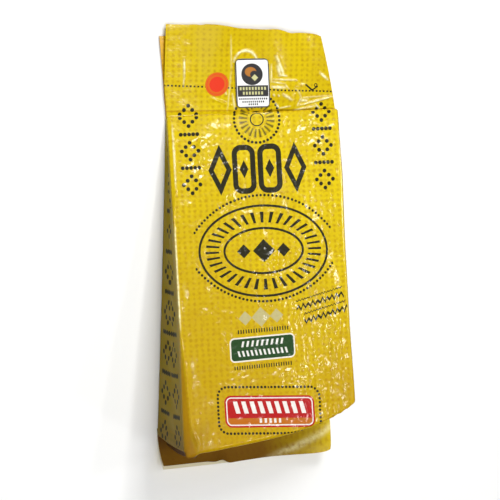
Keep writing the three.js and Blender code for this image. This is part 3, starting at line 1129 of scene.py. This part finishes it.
# middle across, place down, height of the strokes and length of each line
ZIGZAGS = [
    (37.5, 119.6, 0.7, 32.0),
    (38.0, 124.0, 1.9, 33.0),
    (41.0, 128.2, 0.7, 29.0),
    (41.5, 132.8, 1.9, 30.0),
]


def print_zigzag(u, v, middle, drop, size, span):
    """A line of uneven pen strokes that rises to the right."""
    line = v - drop + (u - middle) * 0.25
    swing = abs(wrapped(u, 7.3)) * (0.17 * size) + 0.4 * size
    zigzag = abs(wrapped(u, 1.2 + 1.1 * size)) / (0.3 + 0.275 * size) - 1.0
    return higher((abs(line - zigzag * swing) - 0.5 * size) * 0.6, abs(u - middle) - span / 2)


def print_small_rows(u, v):
    """Rows of bars above and below the green field, and dots round the red one."""
    green_v = v + u * GREEN_TILT
    red_v = v - u * RED_TILT
    return lower(shape_bars(u, green_v, (-2.0, 140.6), 20, 2.6, 1.75, 0.8),
                 shape_bars(u, green_v, (-3.2, 163.4), 24, 2.4, 1.65, 0.75),
                 shape_dots_round_box(u, red_v, (-0.5, 192.0), (68.5, 29.5), 6.5, 2.45, 1.7))


# %% All of the dark ink
def flap_print(u, v):
    """The dark print of the top flap: a cut line of dots, and a pair of scissors."""
    line = v + 14.5 - u * 0.045
    dots = higher(abs(wrapped(u, 2.5)) - 0.62, abs(line) - 0.55, abs(u) - 61.0)
    blade = shape_stroke(u, v, (39.3, -13.3), (34.7, -16.8), 1.1)
    handle = shape_stroke(u, v, (39.3, -13.3), (42.8, -15.5), 0.95)
    ring = shape_line(length(u - 41.6, v + 16.5) - 0.95, 0.6)
    return lower(dots, blade, handle, ring)


def dark_print(u, v):
    """All that is printed in the dark ink."""
    return lower(print_columns(u, v), print_rosette(u, v), print_tall_row(u, v), print_medallion(u, v),
                 print_small_rows(u, v), *[print_zigzag(u, v, *line) for line in ZIGZAGS], flap_print(u, v))


# %% [markdown]
# ## The film's finish
# The film is printed on its inner face, so its colour is seen through a clear and shiny layer. The
# shader is built alike: inks laid over each other as the base colour, and a clear coat above them that
# gives nearly all the gloss. One could also mix a matt and a glossy shader, but the coat takes one
# number. It is turned down on the folded sides and under the rind, where fine wrinkles dull the film.

# %% Colours of the inks
FILM_YELLOW = (0.755, 0.585, 0.002, 1)
FILM_DEEP = (0.42, 0.24, 0.003, 1)
BLOT_OCHRE = (0.36, 0.17, 0.002, 1)
DARK_INK = (0.022, 0.020, 0.008, 1)
GREEN_INK = (0.020, 0.060, 0.016, 1)
RED_INK = (0.42, 0.013, 0.013, 1)
ORANGE_INK = (0.47, 0.135, 0.010, 1)
DISC_RED = (0.75, 0.045, 0.018, 1)
DISC_ORANGE = (0.69, 0.135, 0.013, 1)
WHITE_INK = (0.82, 0.80, 0.74, 1)
PALE_INK = (0.46, 0.44, 0.25, 1)
INNER_FILM = (0.90, 0.84, 0.60, 1)
# brown of the painted shade on the seal
SEAL_PAINTED_SHADE = (0.18, 0.072, 0.012, 1)
# brown of painted shade: under the rind, in the pockets, at the foot of the sides, and on the seal close
# under the rind
PAINTED_SHADE_BROWN = (0.07, 0.025, 0.010, 1)
# ochre of the pinched strip, and of painted shade at the lower right and along the fold
OCHRE_AND_SHADE = (0.38, 0.17, 0.004, 1)
AMBER_FILM = (0.76, 0.42, 0.012, 1)
# olive of the painted shade on the folded sides
SIDE_SHADE_OLIVE = (0.175, 0.152, 0.018, 1)
# pale colour of painted highlights
PAINTED_HIGHLIGHT = (0.92, 0.88, 0.52, 1)


def lay_ink(tree, under, ink, distance, soft=0.14, strength=1.0):
    """Lays an ink over a colour wherever the distance is below zero."""
    cover = lower(higher(distance / -soft + 0.5, 0.0), 1.0)
    if strength < 1:
        cover = cover * strength
    node = tree.nodes.new("ShaderNodeMix")
    node.data_type = "RGBA"
    node.inputs["B"].default_value = ink
    tree.links.new(cover.socket, node.inputs["Factor"])
    if isinstance(under, bpy.types.NodeSocket):
        tree.links.new(under, node.inputs["A"])
    else:
        node.inputs["A"].default_value = under
    return node.outputs["Result"]


# %% Fields that the materials read
def film_fields(tree):
    """The place on the flat film, across and down, as two fields."""
    flat = tree.nodes.new("ShaderNodeUVMap")
    flat.uv_map = "flat_film"
    split = tree.nodes.new("ShaderNodeSeparateXYZ")
    tree.links.new(flat.outputs[0], split.inputs[0])
    return Field(tree, split.outputs[0]), Field(tree, split.outputs[1])


def noise_field(tree, scale, detail):
    """Noise over the object, as a field."""
    place = tree.nodes.new("ShaderNodeTexCoord")
    noise = tree.nodes.new("ShaderNodeTexNoise")
    noise.inputs["Scale"].default_value = scale
    noise.inputs["Detail"].default_value = detail
    tree.links.new(place.outputs["Object"], noise.inputs["Vector"])
    return Field(tree, noise.outputs[0])


def stored_field(tree, name):
    """A mask that is stored on the points, as a field."""
    stored = tree.nodes.new("ShaderNodeAttribute")
    stored.attribute_name = name
    return Field(tree, stored.outputs["Fac"])


def film_bump(tree, scale=900.0, height=0.05 * MM):
    """Fine unevenness of the film, as a bump on its surface."""
    bump = tree.nodes.new("ShaderNodeBump")
    bump.inputs["Strength"].default_value = 1.0
    bump.inputs["Distance"].default_value = height
    tree.links.new(noise_field(tree, scale, detail=2.0).socket, bump.inputs["Height"])
    return bump.outputs[0]


# %% Tones of the film
DEEP_FROM = 165.0
DEEP_MOST = 96.0
FOLD_LINE = -0.6
# down from the fold, where the painted shade at the foot of the folded sides is half strong
LOW_GUSSET = 215.0
# across, where the seal's painted shade is half strong
BROWN_TO = 40.0


def tone_printed(tree, colour, u, v):
    """Deeper yellow towards the foot and the left and a little on the flap; the ochre strip; painted shade
    at the lower right, along the fold line, and olive on the folded sides, browner at their foot.
    """
    deeper = lower(u * 0.7 - v * 1.15 + DEEP_FROM, higher(v * 10.0 + DEEP_FROM, DEEP_MOST))
    colour = lay_ink(tree, colour, FILM_DEEP, deeper, soft=300.0, strength=0.95)
    # the ochre strip, and painted shade at the lower right of the front
    colour = lay_ink(tree, colour, OCHRE_AND_SHADE, 0.5 - stored_field(tree, "strip_and_shade"), soft=1.0, strength=0.6)
    # painted shade: a thin darker line along the fold, where the crease lies in shadow
    colour = lay_ink(tree, colour, OCHRE_AND_SHADE, abs(v - FOLD_LINE) - 0.5, soft=0.8, strength=0.6)
    # painted shade: the folded sides are darkened to olive, and browner towards their foot
    gusset = higher(HALF_WIDTH - abs(u), -v)
    colour = lay_ink(tree, colour, SIDE_SHADE_OLIVE, gusset, soft=0.5, strength=0.7)
    return lay_ink(tree, colour, PAINTED_SHADE_BROWN, higher(gusset, LOW_GUSSET - v), soft=40.0, strength=0.9)


def tone_seal(tree, colour, u, v):
    """Painted shade on the seal: brown from its left to past its middle, and darker close under the rind."""
    colour = lay_ink(tree, colour, SEAL_PAINTED_SHADE, u - BROWN_TO, soft=60.0, strength=0.93)
    under_rind = v - WHEEL_RADIUS - SEAL_SHADE
    return lay_ink(tree, colour, PAINTED_SHADE_BROWN, under_rind + u * 0.04, soft=9.0, strength=0.7)


# %% Coloured print
def print_disc(tree, colour, u, v):
    """A red disc in an orange ring, on the flap."""
    disc = length(u + 25.3, v + 17.6)
    colour = lay_ink(tree, colour, DISC_ORANGE, disc - 7.8)
    colour = lay_ink(tree, colour, DISC_RED, disc - 5.0)
    return lay_ink(tree, colour, DISC_RED, shape_line(disc - 6.6, 0.5), strength=0.7)


def print_green(tree, colour, u, v):
    """The green field with two rows of bars, under three pale lozenges."""
    tilted_v = v + u * GREEN_TILT
    for middle, size in ((-3.0, 12.5), (-13.5, 9.0), (7.5, 9.0)):
        pale = shape_lozenge(u, tilted_v, (middle, 132.2), (size, size))
        colour = lay_ink(tree, colour, PALE_INK, pale, soft=0.5, strength=0.75)
    green = shape_box(u, tilted_v, (-3.0, 152.0), (44.0, 15.6), 3.2)
    colour = lay_ink(tree, colour, WHITE_INK, green, strength=0.85)
    colour = lay_ink(tree, colour, GREEN_INK, green + 0.9)
    bars = lower(shape_bars(u, tilted_v, (-3.0, 148.6), 9, 3.6, 3.3, 1.4, 0.25),
                 shape_bars(u, tilted_v, (-3.0, 154.6), 12, 3.6, 2.9, 1.3, -0.25))
    return lay_ink(tree, colour, WHITE_INK, bars, strength=0.9)


def print_red(tree, colour, u, v):
    """The red field with an orange foot, a white line inside its edge and two rows of bars."""
    tilted_v = v - u * RED_TILT
    red = shape_box(u, tilted_v, (-0.3, 192.8), (60.4, 20.3), 4.6)
    colour = lay_ink(tree, colour, RED_INK, red)
    colour = lay_ink(tree, colour, ORANGE_INK, higher(red + 1.6, -(tilted_v - 197.0)))
    colour = lay_ink(tree, colour, WHITE_INK, shape_line(red + 1.5, 0.75), strength=0.9)
    bars = lower(shape_bars(u, tilted_v, (-0.3, 190.2), 9, 7.6, 5.5, 2.9, -0.25),
                 shape_bars(u, tilted_v, (-0.3, 198.6), 5, 2.8, 3.2, 1.5))
    return lay_ink(tree, colour, WHITE_INK, bars, strength=0.92)


# %% The film's material
LEAST_COAT = 0.04


def film_material(name, base=FILM_YELLOW, printed=False, shaded=False):
    """Glossy printed film: ochre dots on yellow, the print on top, and painted shade and highlights."""
    material = bpy.data.materials.new(name)
    material.use_nodes = True
    tree = material.node_tree
    surface = tree.nodes["Principled BSDF"]
    u, v = film_fields(tree)
    clouds = noise_field(tree, scale=45.0, detail=3.0)
    grains = noise_field(tree, scale=420.0, detail=3.0)
    colour = lay_ink(tree, base, FILM_DEEP, 0.5 - clouds, soft=0.6, strength=0.4)
    if printed:
        colour = tone_printed(tree, colour, u, v)
    blot = length(wrapped(u, 3.9), wrapped(v, 3.3)) - 0.75 + clouds * 1.2 + grains * 1.6 - 1.4
    colour = lay_ink(tree, colour, BLOT_OCHRE, blot, soft=1.4, strength=0.5)
    colour = lay_ink(tree, colour, BLOT_OCHRE, grains - 0.42, soft=0.15, strength=0.2)
    if shaded:
        colour = tone_seal(tree, colour, u, v)
    if printed:
        colour = lay_ink(tree, colour, DARK_INK, dark_print(u, v))
        for print_part in (print_disc, print_green, print_red):
            colour = print_part(tree, colour, u, v)
        # painted shade: brown laid where the film is tucked under the rind or into the pockets
        tucked_shade_mask = stored_field(tree, "tucked_shade")
        colour = lay_ink(tree, colour, PAINTED_SHADE_BROWN, 0.5 - tucked_shade_mask, soft=1.0, strength=0.9)
        # the coat fades within 3 mm past the front's edges, where the film is tucked, and at the fold
        side_coat = abs(u) * -0.35 + 21.3
        tucked_coat = lower(tucked_shade_mask * -1.6 + 1.0, stored_field(tree, "dull_rim") * -1.2 + 1.0)
        fold_coat = abs(v) * 0.7 + 0.1
        coat = lower(higher(lower(side_coat, tucked_coat, fold_coat), LEAST_COAT), 1.0)
        tree.links.new(coat.socket, surface.inputs["Coat Weight"])
    else:
        surface.inputs["Coat Weight"].default_value = 0.12 if shaded else 1.0
    # painted highlights: pale colour laid along creases, rims and the seal's roll
    painted_highlights = stored_field(tree, "painted_highlights") * (grains * -3.0 + 0.4) + 0.5
    colour = lay_ink(tree, colour, PAINTED_HIGHLIGHT, painted_highlights, soft=1.0)
    tree.links.new(colour, surface.inputs["Base Color"])
    tree.links.new((clouds * 0.14 + 0.24).socket, surface.inputs["Roughness"])
    surface.inputs["Specular IOR Level"].default_value = 0.01 if printed else 0.05
    surface.inputs["Coat IOR"].default_value = 1.48
    surface.inputs["Coat Roughness"].default_value = 0.22 if shaded else 0.16
    fine = film_bump(tree)
    tree.links.new(fine, surface.inputs["Normal"])
    tree.links.new(fine, surface.inputs["Coat Normal"])
    print(name, "nodes", len(tree.nodes))
    return material


printed_film = film_material("printed yellow film", printed=True)
plain_film = film_material("amber film", base=AMBER_FILM)
# the seal film carries painted shade
seal_film = film_material("browned seal film", shaded=True)

# %% Inner face of the film
inner_film = bpy.data.materials.new("pale inner film")
inner_film.use_nodes = True
inner_tree = inner_film.node_tree
inner_surface = inner_tree.nodes["Principled BSDF"]
inner_surface.inputs["Base Color"].default_value = INNER_FILM
inner_surface.inputs["Roughness"].default_value = 0.35
inner_tree.links.new(film_bump(inner_tree), inner_surface.inputs["Normal"])
print(inner_film.name, "nodes", len(inner_tree.nodes))

# %% The label's material
LABEL_WHITE = (0.92, 0.92, 0.91, 1)
LABEL_LINE = (0.03, 0.028, 0.03, 1)
LABEL_OCHRE = (0.45, 0.17, 0.02, 1)
LABEL_PALE = (0.62, 0.60, 0.28, 1)
label_paper = bpy.data.materials.new("coated label paper")
label_paper.use_nodes = True
label_tree = label_paper.node_tree
label_surface = label_tree.nodes["Principled BSDF"]
label_u, label_v = film_fields(label_tree)


def label_rows(rows, height, pitch, width):
    """Rows of bars across the label; a row has a place up from the middle and a number of bars."""
    return [shape_bars(label_u, label_v, (0, place), count, height, pitch, width)
            for place, count in rows]


# the outline, a disc and a box, with three rows of dark bars under them
label_dark = lower(
    shape_line(shape_box(label_u, label_v, (0, 0), (LABEL_WIDTH, LABEL_HEIGHT), 2.4) + 0.4, 0.75),
    length(label_u + 0.2, label_v - 5.8) - 7.0,
    shape_box(label_u, label_v, (0, -5.0), (20.0, 7.2)),
    *label_rows([(-10.1, 14), (-12.0, 11), (-13.7, 5)], 1.2, 1.35, 0.85))
label_colour = lay_ink(label_tree, LABEL_WHITE, LABEL_LINE, label_dark)
# a crescent on the disc, and then a lozenge on it and two rows of pale bars on the box
label_ochre = higher(shape_oval(label_u, label_v, (-1.0, 7.4), (7.6, 6.2)),
                     -shape_oval(label_u, label_v, (1.4, 5.6), (5.6, 5.0)))
label_colour = lay_ink(label_tree, label_colour, LABEL_OCHRE, label_ochre, soft=0.4)
label_pale = lower(shape_lozenge(label_u, label_v, (1.6, 3.6), (4.4, 4.4)),
                   *label_rows([(-3.4, 9), (-6.4, 7)], 1.9, 2.0, 1.15))
label_colour = lay_ink(label_tree, label_colour, LABEL_PALE, label_pale, soft=0.3)
label_tree.links.new(label_colour, label_surface.inputs["Base Color"])
label_surface.inputs["Roughness"].default_value = 0.35
label_surface.inputs["Coat Weight"].default_value = 0.5
label_surface.inputs["Coat Roughness"].default_value = 0.12
label_tree.links.new(film_bump(label_tree, 1500.0, 0.01 * MM), label_surface.inputs["Normal"])
print(label_paper.name, "nodes", len(label_tree.nodes))

# %% Run the puckers and paint the pieces
SHARP_FROM = math.radians(50)
pucker_tree = build_pucker_tree()
pucker(film_body, pucker_tree, printed_film, pucker_height=0.80 * MM, pucker_size=7.5 * MM,
       crumb_height=0.44 * MM, crumb_size=2.9 * MM, streak_height=1.4 * MM, streak_width=3.0 * MM,
       seed=SEED)
pucker(front_leaf, pucker_tree, printed_film, pucker_height=0.45 * MM, pucker_size=9.0 * MM,
       crumb_height=0.06 * MM, crumb_size=3.0 * MM, streak_height=0.0, streak_width=1.0 * MM,
       seed=SEED + 1)
back_leaf.data.materials.append(plain_film)
seal_front.data.materials.append(seal_film)
seal_back.data.materials.append(seal_film)
seal_back.data.materials.append(inner_film)
inner_marks = np.zeros(len(seal_back.data.polygons), np.int32)
inner_marks[:seal_inner_faces] = 1
seal_back.data.polygons.foreach_set("material_index", inner_marks)
paper_label.data.materials.append(label_paper)
for piece in (film_body, front_leaf, back_leaf, seal_front, seal_back, paper_label):
    piece.data.set_sharp_from_angle(angle=SHARP_FROM)

# %% [markdown]
# ## What each piece stands for
# The film pieces together replace the plain solid of the pack, and the paper replaces its own solid.

# %% Riding and replacing
for piece in (film_body, front_leaf, back_leaf, seal_front, seal_back):
    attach(piece, "root")
    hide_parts("pack")
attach(paper_label, "root")
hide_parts("seal_label")
